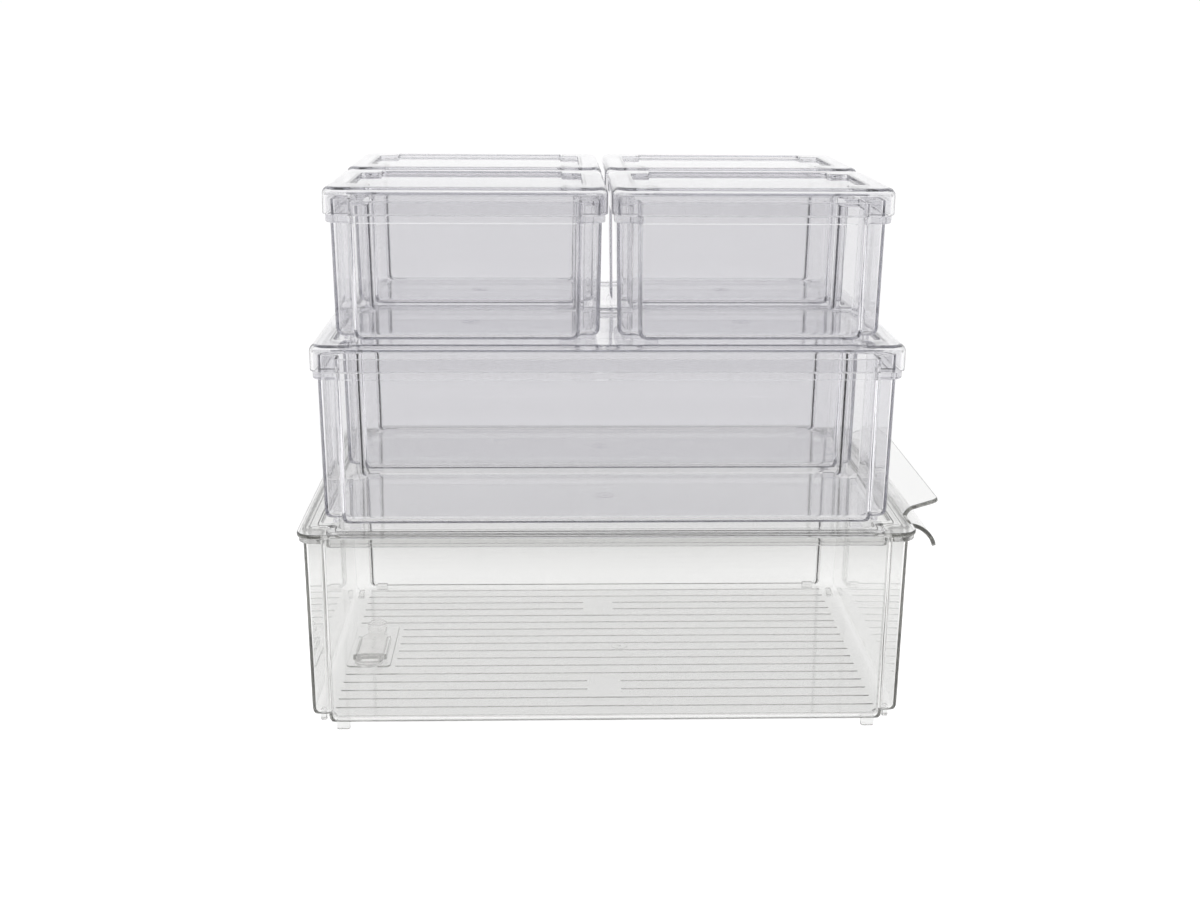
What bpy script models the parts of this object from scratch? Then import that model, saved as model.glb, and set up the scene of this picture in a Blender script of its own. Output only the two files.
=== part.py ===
"""A stacking set of clear lidded fridge bins: one large, two medium and four small.

The large bin stands on the shelf with its lid on, the two medium bins stand side by side in the
recess of that lid, and each medium lid carries two small bins. Every lid lifts off, and the large
bin has a drain in its floor with a slide that covers it. Metres, +Z up. The origin is under the
middle of the whole set, on the surface that it stands on.
"""

import math

import bmesh
import bpy
from mathutils import Vector

MM = 0.001

# Moulding
WALL = 2.0 * MM
FLOOR = 2.2 * MM
DRAFT = 1.0 * MM  # how far a wall leans out from its foot to its rim
GAP = 0.3 * MM  # clearance between two pieces that touch
BEND = 5.0 * MM  # radius between the walls and the floor
CORNER = 3.0 * MM  # radius of an upright outer corner
HOLLOW = 2.0 * MM  # radius of an upright inner corner
NOTCH = 11.0 * MM  # square step in each corner of a bin
ARC_STEPS = 2
SMALLEST_RADIUS = 0.4 * MM
SHARP = math.radians(35)  # edges that turn further than this are shaded sharp

# Feet: two short bars beside each notch
LARGE_FOOT_HEIGHT = 4.0 * MM
STACK_FOOT_HEIGHT = 2.8 * MM  # of the medium and small bins, which stand in a lid's recess
FOOT_LENGTH = 7.6 * MM
FOOT_WIDTH = 3.6 * MM
FOOT_INSET = 4.0 * MM

# Lids
PLATE = 2.2 * MM
RECESS = 1.8 * MM
SKIRT_WALL = 1.8 * MM
SKIRT_DEPTH = 14.5 * MM
LEDGE = 4.0 * MM
LEDGE_INSET = 1.4 * MM
LID_CORNER = 9.5 * MM
RIM_DROP = 7.5 * MM  # top of a small or medium bin's wall below the top of its lid
LID_OVERHANG = 2.8 * MM  # lid beyond the bin's wall, at its rim
LID_EDGE = 4.0 * MM  # radius between the skirt and the top of the lid

# Large bin and lid
LARGE_LENGTH = 344.0 * MM
LARGE_DEPTH = 235.0 * MM
LARGE_HEIGHT = 114.5 * MM  # underside of the bin to the top of the lid
LARGE_OVERHANG = 2.3 * MM
LARGE_FLANGE = 2.8 * MM
LARGE_FLANGE_INSET = 1.0 * MM
LARGE_RING_DEPTH = 6.5 * MM
LARGE_RING_GAP = 0.9 * MM  # ring to the inside of the bin
LARGE_BORDER = (11.7 * MM, 10.9 * MM)  # edge of the lid to its recess, along X and Y

# Medium bins and lids
MEDIUM_LENGTH = 324.4 * MM
MEDIUM_DEPTH = 107.6 * MM
MEDIUM_HEIGHT = 102.1 * MM
MEDIUM_PITCH = 109.6 * MM
MEDIUM_BORDER = (12.0 * MM, 6.9 * MM)

# Small bins and lids
SMALL_LENGTH = 151.6 * MM
SMALL_DEPTH = 99.4 * MM
SMALL_HEIGHT = 82.6 * MM
SMALL_PITCH = 153.6 * MM
SMALL_BORDER = (13.3 * MM, 10.0 * MM)

# Handle of the large bin, and the lift tab of its lid
GRIP_THICKNESS = 2.4 * MM
GRIP_STEPS = 5
HANDLE_WIDTH = 184.0 * MM
HANDLE_REACH = 16.8 * MM  # beyond the end of the lid
HANDLE_RADIUS = 17.0 * MM
HANDLE_SWEEP = math.radians(80)
TAB_WIDTH = 170.0 * MM
TAB_REACH = 18.3 * MM
TAB_BEND = 7.0 * MM
TAB_STEEP = math.radians(80)
TAB_SLOPE = math.radians(17)

# Ribs on the large bin's floor
RIB_COUNT = 19
RIB_PITCH = 11.85 * MM
RIB_HEIGHT = 0.8 * MM
RIB_WIDTH = 1.8 * MM
RIB_REACH = 156.3 * MM
RIB_SINK = 0.5 * MM
PAD_HALF_WIDTH = 10.0 * MM
PAD_HALF_DEPTH = 10.0 * MM
PAD_OFFSET = 65.0 * MM

# Drain in the large bin's floor, and its slide
DRAIN_X = -144.0 * MM
LAND_SIZE = (27.0 * MM, 66.0 * MM)
LAND_Y = -4.0 * MM
SLOT_SIZE = (12.0 * MM, 10.0 * MM)
SLOT_Y = -27.0 * MM
SEAL_WIDTH = 2.0 * MM
SEAL_THICKNESS = 0.9 * MM
SLIDE_SIZE = (17.0 * MM, 52.0 * MM)
SLIDE_Y = -14.0 * MM
SLIDE_THICKNESS = 1.8 * MM
SLIDE_CORNER = 8.0 * MM
SLIDE_STEPS = 4
TAIL_WIDTH = 11.0 * MM
TAIL_END = 27.0 * MM
KNOB_RADIUS = 6.2 * MM
KNOB_HEIGHT = 4.0 * MM
KNOB_SIDES = 24
KNOB_Y = 20.0 * MM
GROOVE_SIZE = (1.4 * MM, 18.0 * MM)
GROOVE_Y = -3.5 * MM
GROOVE_DEPTH = 0.8 * MM
RAIL_WIDTH = 1.5 * MM
RAIL_LIP = 1.2 * MM
RAIL_LIP_HEIGHT = 1.0 * MM
RAIL_LENGTH = 30.0 * MM
RAIL_Y = -12.0 * MM

# Worked out from the sizes above
SET_X = -TAB_REACH / 2  # middle of the bins: the lift tab sticks out furthest, at one end only
LARGE_FLOOR_Z = LARGE_FOOT_HEIGHT
LARGE_TOP_Z = LARGE_FLOOR_Z + LARGE_HEIGHT
STEP_UP = STACK_FOOT_HEIGHT - RECESS + GAP  # underside of a bin above the lid that it stands on
MEDIUM_FLOOR_Z = LARGE_TOP_Z + STEP_UP
MEDIUM_TOP_Z = MEDIUM_FLOOR_Z + MEDIUM_HEIGHT
SMALL_FLOOR_Z = MEDIUM_TOP_Z + STEP_UP

CLEAR_COOL = (0.80, 0.80, 0.84)
CLEAR_WARM = (0.85, 0.86, 0.84)
WHITE_CLEAR = (0.92, 0.90, 0.89)
SILICONE = (0.90, 0.90, 0.90)


# Outlines, as lists of (x, y) that run anticlockwise


def rounded(corners, radii, steps=ARC_STEPS):
    """The outline through square corners, each rounded by its own radius."""
    points = []
    for index, (corner, radius) in enumerate(zip(corners, radii)):
        here = Vector(corner)
        back = (Vector(corners[index - 1]) - here).normalized()
        ahead = (Vector(corners[(index + 1) % len(corners)]) - here).normalized()
        middle = here + radius * (back + ahead)
        for step in range(steps + 1):
            turn = math.pi / 2 * step / steps
            points.append(middle - radius * (ahead * math.cos(turn) + back * math.sin(turn)))
    return points


def box_outline(half_x, half_y, radius, centre=(0.0, 0.0), steps=ARC_STEPS):
    corners = [(-half_x, -half_y), (half_x, -half_y), (half_x, half_y), (-half_x, half_y)]
    moved = [(x + centre[0], y + centre[1]) for x, y in corners]
    return rounded(moved, [radius] * 4, steps)


def notched_outline(half_x, half_y, inset=0.0, notch=NOTCH):
    """A rectangle with a square step in each corner, which is a bin's plan."""
    x, y = half_x - inset, half_y - inset
    quarter = [(x - notch, y), (x - notch, y - notch), (x, y - notch)]
    corners = [(px, -py) for px, py in quarter]
    corners += list(reversed(quarter))
    corners += [(-px, py) for px, py in quarter]
    corners += [(-px, -py) for px, py in reversed(quarter)]
    outer = max(CORNER - inset, SMALLEST_RADIUS)
    inner = HOLLOW + inset
    radii = [outer, inner, outer] * 4
    return rounded(corners, radii)


# Solids, as meshes about their own origin


def loft(name, sections):
    """A closed solid through a stack of (outline, height), all with the same number of points."""
    shape = bmesh.new()
    rings = [[shape.verts.new((x, y, z)) for x, y in outline] for outline, z in sections]
    for lower, upper in zip(rings, rings[1:]):
        count = len(lower)
        for index in range(count):
            after = (index + 1) % count
            shape.faces.new((lower[index], lower[after], upper[after], upper[index]))
    shape.faces.new(list(reversed(rings[0])))
    shape.faces.new(rings[-1])
    return mesh_of(name, shape)


def prism(name, outline, low, high):
    return loft(name, [(outline, low), (outline, high)])


def mesh_of(name, shape):
    bmesh.ops.recalc_face_normals(shape, faces=shape.faces)
    mesh = bpy.data.meshes.new(name)
    shape.to_mesh(mesh)
    shape.free()
    return mesh


def sheet_strip(name, line, thickness, width):
    """A bent strip: a line of (x, z) given this thickness, square to the line, and run along Y."""
    upper, lower = [], []
    for index, point in enumerate(line):
        before = line[max(index - 1, 0)]
        after = line[min(index + 1, len(line) - 1)]
        along = (Vector(after) - Vector(before)).normalized()
        side = Vector((-along.y, along.x)) * thickness / 2
        upper.append(Vector(point) + side)
        lower.append(Vector(point) - side)
    shape = bmesh.new()
    profile = upper + list(reversed(lower))
    face = shape.faces.new([shape.verts.new((x, -width / 2, z)) for x, z in profile])
    run = bmesh.ops.extrude_face_region(shape, geom=[face])
    moved = [item for item in run["geom"] if isinstance(item, bmesh.types.BMVert)]
    bmesh.ops.translate(shape, verts=moved, vec=(0.0, width, 0.0))
    return mesh_of(name, shape)


def blocks(name, boxes):
    """Separate boxes in one mesh, each given by its lowest and highest corner."""
    shape = bmesh.new()
    for low, high in boxes:
        made = bmesh.ops.create_cube(shape, size=1.0)
        low, high = Vector(low), Vector(high)
        bmesh.ops.scale(shape, verts=made["verts"], vec=high - low)
        bmesh.ops.translate(shape, verts=made["verts"], vec=(low + high) / 2)
    return mesh_of(name, shape)


def disc(name, radius, low, high, centre, sides):
    shape = bmesh.new()
    bmesh.ops.create_cone(
        shape, cap_ends=True, segments=sides, radius1=radius, radius2=radius, depth=high - low
    )
    bmesh.ops.translate(shape, verts=shape.verts, vec=(centre[0], centre[1], (low + high) / 2))
    return mesh_of(name, shape)


def combined(base, unions=(), cuts=()):
    """The base mesh with the unions added to it, and then the cuts taken out of it."""
    scene = bpy.context.scene
    body = bpy.data.objects.new(base.name, base)
    scene.collection.objects.link(body)
    tools = []
    for operation, meshes in (("UNION", unions), ("DIFFERENCE", cuts)):
        for mesh in meshes:
            tool = bpy.data.objects.new(mesh.name, mesh)
            scene.collection.objects.link(tool)
            tools.append(tool)
            boolean = body.modifiers.new(mesh.name, "BOOLEAN")
            boolean.operation = operation
            boolean.solver = "EXACT"
            boolean.object = tool
    graph = bpy.context.evaluated_depsgraph_get()
    result = bpy.data.meshes.new_from_object(body.evaluated_get(graph))
    result.name = base.name
    for item in [body] + tools:
        bpy.data.objects.remove(item)
    return result


# Bins


def bin_walls(name, half_x, half_y, height, inset, floor):
    """A bin's solid body, or its inside where an inset is given, with the bend at its foot."""
    sections = []
    bend = BEND - inset
    for step in range(ARC_STEPS + 1):
        turn = math.pi / 2 * step / ARC_STEPS
        pulled_in = inset + DRAFT + bend * (1 - math.sin(turn))
        outline = notched_outline(half_x, half_y, pulled_in)
        sections.append((outline, floor + bend * (1 - math.cos(turn))))
    sections.append((notched_outline(half_x, half_y, inset), height))
    return loft(name, sections)


def feet(half_x, half_y, height):
    """Two bars beside each notch: one under the end of the long wall, one under the side wall."""
    x, y = half_x - DRAFT, half_y - DRAFT
    bars = []
    for side_x in (-1, 1):
        for side_y in (-1, 1):
            end_x = side_x * (x - NOTCH - FOOT_LENGTH)
            end_y = side_y * (y - FOOT_INSET)
            bars.append((end_x, end_y, FOOT_LENGTH, FOOT_WIDTH))
            end_x = side_x * (x - FOOT_INSET - FOOT_WIDTH / 2)
            end_y = side_y * (y - NOTCH - FOOT_LENGTH)
            bars.append((end_x, end_y, FOOT_WIDTH, FOOT_LENGTH))
    boxes = []
    for middle_x, middle_y, length, width in bars:
        boxes.append((
            (middle_x - length / 2, middle_y - width / 2, -height),
            (middle_x + length / 2, middle_y + width / 2, FLOOR / 2),
        ))
    return blocks("feet", boxes)


def lidded_bin_mesh(name, length, depth, height):
    """A medium or small bin about the middle of its underside."""
    half_x, half_y = length / 2 - LID_OVERHANG, depth / 2 - LID_OVERHANG
    rim = height - RIM_DROP
    ledge_top = height - SKIRT_DEPTH - GAP
    body = bin_walls(name, half_x, half_y, rim, 0.0, 0.0)
    inside = bin_walls("inside", half_x, half_y, rim + WALL, WALL, FLOOR)
    ledge_outline = box_outline(
        length / 2 - LEDGE_INSET, depth / 2 - LEDGE_INSET, LID_CORNER - LEDGE_INSET
    )
    ledge = prism("ledge", ledge_outline, ledge_top - LEDGE, ledge_top)
    return combined(body, [ledge, feet(half_x, half_y, STACK_FOOT_HEIGHT)], [inside])


def round_topped(name, half_x, half_y, corner, edge, low, high):
    """A block with upright corners of one radius and a rounded upper edge of another."""
    sections = [(box_outline(half_x, half_y, corner), low)]
    for step in range(ARC_STEPS + 1):
        turn = math.pi / 2 * step / ARC_STEPS
        inset = edge * (1 - math.cos(turn))
        outline = box_outline(half_x - inset, half_y - inset, corner - inset)
        sections.append((outline, high - edge * (1 - math.sin(turn))))
    return loft(name, sections)


def skirted_lid_mesh(name, length, depth, border):
    """A medium or small lid about the middle of its top: a plate with a recess, and a skirt."""
    half_x, half_y = length / 2, depth / 2
    shell = round_topped(name, half_x, half_y, LID_CORNER, LID_EDGE, -SKIRT_DEPTH, 0.0)
    hollow = round_topped(
        "hollow", half_x - SKIRT_WALL, half_y - SKIRT_WALL, LID_CORNER - SKIRT_WALL,
        LID_EDGE - SKIRT_WALL, -SKIRT_DEPTH - PLATE, -PLATE,
    )
    panel = notched_outline(half_x - border[0], half_y - border[1])
    under = notched_outline(half_x - border[0] + WALL, half_y - border[1] + WALL)
    tray = prism("tray", under, -RECESS - PLATE, -PLATE / 2)
    recess = prism("recess", panel, -RECESS, PLATE)
    return combined(combined(shell, [], [hollow]), [tray], [recess])


# Large bin


def handle_line():
    """The handle's middle line: level at the rim, then bending down to its lip."""
    start_x = LARGE_LENGTH / 2 - 2 * LARGE_FLANGE_INSET
    start_z = LARGE_HEIGHT - PLATE - GAP - GRIP_THICKNESS / 2
    lip_x = LARGE_LENGTH / 2 + HANDLE_REACH - GRIP_THICKNESS / 2
    centre_x = lip_x - HANDLE_RADIUS * math.sin(HANDLE_SWEEP)
    line = [(start_x, start_z)]
    for step in range(GRIP_STEPS + 1):
        turn = HANDLE_SWEEP * step / GRIP_STEPS
        drop = HANDLE_RADIUS * (1 - math.cos(turn))
        line.append((centre_x + HANDLE_RADIUS * math.sin(turn), start_z - drop))
    return line


def tab_line():
    """The lift tab's middle line: up out of the lid's edge, then flaring outwards."""
    half = LARGE_LENGTH / 2
    start = Vector((half - GRIP_THICKNESS / 2, -PLATE / 2))
    line = [start]
    heading = TAB_STEEP
    step_length = TAB_BEND * (TAB_STEEP - TAB_SLOPE) / GRIP_STEPS
    for _ in range(GRIP_STEPS):
        line.append(line[-1] + step_length * Vector((math.cos(heading), math.sin(heading))))
        heading -= (TAB_STEEP - TAB_SLOPE) / GRIP_STEPS
    end_x = half + TAB_REACH - GRIP_THICKNESS / 2 * math.sin(TAB_SLOPE)
    run = end_x - line[-1].x
    line.append(line[-1] + Vector((run, run * math.tan(TAB_SLOPE))))
    return line


def rib_boxes():
    """Rib pieces, which stop short of the two plain pads and of the drain's land."""
    land_right = DRAIN_X + LAND_SIZE[0] / 2
    boxes = []
    for index in range(RIB_COUNT):
        y = (index - (RIB_COUNT - 1) / 2) * RIB_PITCH
        start = -RIB_REACH
        if abs(y - LAND_Y) < LAND_SIZE[1] / 2 + RIB_WIDTH:
            start = land_right + RIB_PITCH / 4
        spans = [(start, RIB_REACH)]
        if abs(abs(y) - PAD_OFFSET) < PAD_HALF_DEPTH:
            spans = [(start, -PAD_HALF_WIDTH), (PAD_HALF_WIDTH, RIB_REACH)]
        for low, high in spans:
            boxes.append((
                (low, y - RIB_WIDTH / 2, FLOOR - RIB_SINK),
                (high, y + RIB_WIDTH / 2, FLOOR + RIB_HEIGHT),
            ))
    return boxes


def rail_boxes():
    """Two upright guides beside the drain's slide, each with a lip over the slide's edge."""
    land_top = FLOOR + RIB_HEIGHT
    under_lip = land_top + SLIDE_THICKNESS + 2 * GAP
    front, rear = RAIL_Y - RAIL_LENGTH / 2, RAIL_Y + RAIL_LENGTH / 2
    boxes = []
    for side in (-1, 1):
        inner = DRAIN_X + side * (SLIDE_SIZE[0] / 2 + GAP)
        outer = inner + side * RAIL_WIDTH
        lip = inner - side * RAIL_LIP
        top = under_lip + RAIL_LIP_HEIGHT
        low, high = sorted((inner, outer))
        boxes.append(((low, front, land_top - RIB_SINK), (high, rear, top)))
        low, high = sorted((lip, outer))
        boxes.append(((low, front, under_lip), (high, rear, top)))
    return boxes


def large_bin_mesh():
    half_x = LARGE_LENGTH / 2 - LARGE_OVERHANG
    half_y = LARGE_DEPTH / 2 - LARGE_OVERHANG
    rim = LARGE_HEIGHT - PLATE - GAP
    body = bin_walls("large_bin", half_x, half_y, rim, 0.0, 0.0)
    inside = bin_walls("inside", half_x, half_y, rim + WALL, WALL, FLOOR)
    flange_outline = box_outline(
        LARGE_LENGTH / 2 - LARGE_FLANGE_INSET,
        LARGE_DEPTH / 2 - LARGE_FLANGE_INSET,
        LID_CORNER - LARGE_FLANGE_INSET,
    )
    flange = prism("flange", flange_outline, rim - LARGE_FLANGE, rim)
    handle = sheet_strip("handle", handle_line(), GRIP_THICKNESS, HANDLE_WIDTH)
    shell = combined(body, [flange, feet(half_x, half_y, LARGE_FOOT_HEIGHT), handle], [inside])

    land_top = FLOOR + RIB_HEIGHT
    land = prism(
        "land",
        box_outline(LAND_SIZE[0] / 2, LAND_SIZE[1] / 2, CORNER, (DRAIN_X, LAND_Y)),
        FLOOR - RIB_SINK,
        land_top,
    )
    rail_lower, rail_upper = rail_boxes()[0::2], rail_boxes()[1::2]
    slot = prism(
        "slot",
        box_outline(SLOT_SIZE[0] / 2, SLOT_SIZE[1] / 2, HOLLOW, (DRAIN_X, SLOT_Y)),
        -FLOOR,
        2 * FLOOR,
    )
    seat = prism(
        "seat",
        box_outline(
            SLOT_SIZE[0] / 2 + SEAL_WIDTH + GAP, SLOT_SIZE[1] / 2 + SEAL_WIDTH + GAP,
            HOLLOW + SEAL_WIDTH, (DRAIN_X, SLOT_Y),
        ),
        land_top - SEAL_THICKNESS,
        2 * FLOOR,
    )
    ribs = blocks("ribs", rib_boxes())
    additions = [ribs, land, blocks("rails", rail_lower), blocks("lips", rail_upper)]
    return combined(shell, additions, [slot, seat])


def large_lid_mesh():
    """The large lid about the middle of its top, with the ring that drops inside the bin."""
    half_x, half_y = LARGE_LENGTH / 2, LARGE_DEPTH / 2
    plate = prism("large_lid", box_outline(half_x, half_y, LID_CORNER), -PLATE, 0.0)
    tab = sheet_strip("tab", tab_line(), GRIP_THICKNESS, TAB_WIDTH)
    inside_x = half_x - LARGE_OVERHANG - WALL
    inside_y = half_y - LARGE_OVERHANG - WALL
    ring = prism(
        "ring", notched_outline(inside_x, inside_y, LARGE_RING_GAP), -PLATE - LARGE_RING_DEPTH, -PLATE / 2
    )
    ring_hollow = prism(
        "ring_hollow", notched_outline(inside_x, inside_y, LARGE_RING_GAP + WALL),
        -2 * LARGE_RING_DEPTH, -PLATE,
    )
    panel_x, panel_y = half_x - LARGE_BORDER[0], half_y - LARGE_BORDER[1]
    tray = prism("tray", notched_outline(panel_x + WALL, panel_y + WALL), -RECESS - PLATE, -PLATE / 2)
    recess = prism("recess", notched_outline(panel_x, panel_y), -RECESS, PLATE)
    ringed = combined(combined(plate, [ring], [ring_hollow]), [tab])
    return combined(ringed, [tray], [recess])


def drain_slide_mesh():
    """The slide about the middle of the drain's land, at the level of its own underside."""
    plate_outline = box_outline(
        SLIDE_SIZE[0] / 2, SLIDE_SIZE[1] / 2, SLIDE_CORNER, (0.0, SLIDE_Y), steps=SLIDE_STEPS
    )
    plate = prism("drain_slide", plate_outline, 0.0, SLIDE_THICKNESS)
    half_tail = TAIL_WIDTH / 2
    tail_outline = box_outline(
        half_tail,
        (TAIL_END - SLIDE_Y) / 2,
        half_tail - GAP,
        (0.0, (SLIDE_Y + TAIL_END) / 2),
        steps=SLIDE_STEPS,
    )
    tail = prism("tail", tail_outline, 0.0, SLIDE_THICKNESS)
    knob_top = SLIDE_THICKNESS + KNOB_HEIGHT
    knob = disc("knob", KNOB_RADIUS, SLIDE_THICKNESS / 2, knob_top, (0.0, KNOB_Y), KNOB_SIDES)
    groove = blocks("groove", [(
        (-GROOVE_SIZE[0] / 2, GROOVE_Y - GROOVE_SIZE[1] / 2, SLIDE_THICKNESS - GROOVE_DEPTH),
        (GROOVE_SIZE[0] / 2, GROOVE_Y + GROOVE_SIZE[1] / 2, 2 * SLIDE_THICKNESS),
    )])
    return combined(plate, [tail, knob], [groove])


def drain_seal_mesh():
    outer = box_outline(
        SLOT_SIZE[0] / 2 + SEAL_WIDTH, SLOT_SIZE[1] / 2 + SEAL_WIDTH, HOLLOW + SEAL_WIDTH
    )
    ring = prism("drain_seal", outer, GAP, SEAL_THICKNESS)
    hole = prism("hole", box_outline(SLOT_SIZE[0] / 2, SLOT_SIZE[1] / 2, HOLLOW), -FLOOR, FLOOR)
    return combined(ring, [], [hole])


# The set

for leftover in list(bpy.data.objects):
    bpy.data.objects.remove(leftover)
collection = bpy.data.collections.new("fridge_bin_set")
bpy.context.scene.collection.children.link(collection)


def material(name, colour, roughness, transmission):
    made = bpy.data.materials.new(name)
    made.use_nodes = True
    shader = made.node_tree.nodes["Principled BSDF"]
    shader.inputs["Base Color"].default_value = (*colour, 1.0)
    shader.inputs["Roughness"].default_value = roughness
    shader.inputs["Metallic"].default_value = 0.0
    shader.inputs["Transmission Weight"].default_value = transmission
    made.diffuse_color = (*colour, 1.0)
    return made


def place(name, mesh, location, look, parent):
    piece = bpy.data.objects.new(name, mesh)
    piece.location = location
    piece.parent = parent
    collection.objects.link(piece)
    mesh.set_sharp_from_angle(angle=SHARP)
    if not mesh.materials:
        mesh.materials.append(look)
    return piece


def origin_point(name, location, parent=None):
    point = bpy.data.objects.new(name, None)
    point.location = location
    point.parent = parent
    collection.objects.link(point)
    return point


cool = material("clear_cool_plastic", CLEAR_COOL, 0.05, 1.0)
warm = material("clear_warm_plastic", CLEAR_WARM, 0.05, 1.0)
milky = material("milky_plastic", WHITE_CLEAR, 0.3, 0.4)
rubber = material("silicone", SILICONE, 0.5, 0.0)

stand = origin_point("set_middle", (SET_X, 0.0, 0.0))
place("large_bin", large_bin_mesh(), (0.0, 0.0, LARGE_FLOOR_Z), warm, stand)
place("large_lid", large_lid_mesh(), (0.0, 0.0, LARGE_TOP_Z), warm, stand)
land_level = LARGE_FLOOR_Z + FLOOR + RIB_HEIGHT
place("drain_slide", drain_slide_mesh(), (DRAIN_X, 0.0, land_level + GAP), milky, stand)
place("drain_seal", drain_seal_mesh(), (DRAIN_X, SLOT_Y, land_level - SEAL_THICKNESS), rubber, stand)

medium_bin = lidded_bin_mesh("medium_bin", MEDIUM_LENGTH, MEDIUM_DEPTH, MEDIUM_HEIGHT)
medium_lid = skirted_lid_mesh("medium_lid", MEDIUM_LENGTH, MEDIUM_DEPTH, MEDIUM_BORDER)
small_bin = lidded_bin_mesh("small_bin", SMALL_LENGTH, SMALL_DEPTH, SMALL_HEIGHT)
small_lid = skirted_lid_mesh("small_lid", SMALL_LENGTH, SMALL_DEPTH, SMALL_BORDER)

for row, side_y in (("front", -1), ("back", 1)):
    y = side_y * MEDIUM_PITCH / 2
    row_middle = origin_point("row_" + row, (0.0, y, 0.0), stand)
    place("medium_bin_" + row, medium_bin, (0.0, 0.0, MEDIUM_FLOOR_Z), cool, row_middle)
    place("medium_lid_" + row, medium_lid, (0.0, 0.0, MEDIUM_TOP_Z), cool, row_middle)
    for column, side_x in (("left", -1), ("right", 1)):
        x = side_x * SMALL_PITCH / 2
        place(f"small_bin_{row}_{column}", small_bin, (x, 0.0, SMALL_FLOOR_Z), cool, row_middle)
        place(
            f"small_lid_{row}_{column}", small_lid, (x, 0.0, SMALL_FLOOR_Z + SMALL_HEIGHT), cool, row_middle
        )
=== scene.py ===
"""The looks of a stacking set of clear lidded fridge bins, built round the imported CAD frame."""

import math

import bmesh
import bpy
from mathutils import Matrix, Vector


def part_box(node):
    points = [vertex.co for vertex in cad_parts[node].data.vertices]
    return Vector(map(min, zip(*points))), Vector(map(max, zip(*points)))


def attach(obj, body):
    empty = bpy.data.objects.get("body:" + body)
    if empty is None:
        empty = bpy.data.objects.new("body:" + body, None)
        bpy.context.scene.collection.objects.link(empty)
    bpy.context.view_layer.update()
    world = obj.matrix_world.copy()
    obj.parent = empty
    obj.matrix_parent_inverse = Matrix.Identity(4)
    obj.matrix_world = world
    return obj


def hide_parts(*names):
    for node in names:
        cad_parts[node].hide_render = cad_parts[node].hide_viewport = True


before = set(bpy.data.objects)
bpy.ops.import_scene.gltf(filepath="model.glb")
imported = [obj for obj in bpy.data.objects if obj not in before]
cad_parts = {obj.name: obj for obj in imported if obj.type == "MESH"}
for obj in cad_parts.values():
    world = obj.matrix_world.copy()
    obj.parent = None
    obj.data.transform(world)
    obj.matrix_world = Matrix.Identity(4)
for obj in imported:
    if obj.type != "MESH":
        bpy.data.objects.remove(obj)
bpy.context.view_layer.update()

MM = 0.001
ARC = 6  # steps in each quarter turn of an outline
EDGE_ARC = 4  # steps in each quarter turn of a section
SHARP = math.radians(40)  # edges that turn further than this are shaded sharp

# Moulding, as in the CAD
WALL = 2.0 * MM
FLOOR = 2.2 * MM
DRAFT = 1.0 * MM
GAP = 0.3 * MM
BEND = 5.0 * MM
CORNER = 3.0 * MM
HOLLOW = 2.0 * MM
NOTCH = 11.0 * MM
LARGE_FOOT_HEIGHT = 4.0 * MM
STACK_FOOT_HEIGHT = 2.8 * MM
FOOT_LENGTH = 7.6 * MM
FOOT_WIDTH = 3.6 * MM
FOOT_INSET = 4.0 * MM
FOOT_CORNER = 1.2 * MM
PLATE = 2.2 * MM
RECESS = 1.8 * MM
SKIRT_WALL = 1.8 * MM
SKIRT_DEPTH = 14.5 * MM
LEDGE = 4.0 * MM
LEDGE_INSET = 1.4 * MM
LID_CORNER = 9.5 * MM
RIM_DROP = 7.5 * MM
LID_OVERHANG = 2.8 * MM
SMALLEST_RADIUS = 0.4 * MM
MARK_RADIUS = 5.2 * MM  # gate mark on a floor
MARK_LINE = 0.6 * MM
MARK_RISE = 0.12 * MM
MARK_SINK = 0.5 * MM
DOT_RADIUS = 1.1 * MM
DOT_RISE = 0.2 * MM

# Soft edges of the mouldings
TOP_EDGE = 4.0 * MM  # outer top edge of a skirted lid
RIM_EDGE = 0.6 * MM
RECESS_EDGE = 0.5 * MM
RECESS_FOOT = 0.3 * MM
FINE_EDGE = 0.5 * MM
UNDER_EDGE = 0.7 * MM
FOOT_EDGE = 0.6 * MM
HIDDEN_EDGE = 0.1 * MM  # of an edge that ends up inside another piece, or cut away

# Large bin and lid
LARGE_LENGTH = 344.0 * MM
LARGE_DEPTH = 235.0 * MM
LARGE_HEIGHT = 114.5 * MM
LARGE_OVERHANG = 2.3 * MM
LARGE_FLANGE = 2.8 * MM
LARGE_FLANGE_INSET = 1.0 * MM
LARGE_RING_DEPTH = 6.5 * MM
LARGE_RING_GAP = 0.9 * MM
LARGE_BORDER = (11.7 * MM, 10.9 * MM)
LARGE_TOP_EDGE = 0.9 * MM
LARGE_MARK = (11.6 * MM, -5.0 * MM)

MEDIUM_SIZE = (324.4 * MM, 107.6 * MM, 102.1 * MM)
MEDIUM_BORDER = (12.0 * MM, 6.9 * MM)
SMALL_SIZE = (151.6 * MM, 99.4 * MM, 82.6 * MM)
SMALL_BORDER = (13.3 * MM, 10.0 * MM)

# Handle and lift tab
GRIP_THICKNESS = 2.4 * MM
GRIP_STEPS = 14
GRIP_EDGE = 0.3  # radius of its long edges, as a share of its thickness
TIP_CORNER = 4.0 * MM
HANDLE_WIDTH = 184.0 * MM
HANDLE_REACH = 16.8 * MM
HANDLE_RADIUS = 17.0 * MM
HANDLE_SWEEP = math.radians(80)
TAB_WIDTH = 170.0 * MM
TAB_REACH = 18.3 * MM
TAB_BEND = 7.0 * MM
TAB_STEEP = math.radians(80)
TAB_SLOPE = math.radians(17)
TAB_SHARES = (0.2, 0.4, 0.6, 0.75, 0.85, 0.92, 0.96, 0.985, 1.0)  # closer together at its rounded tip

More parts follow.
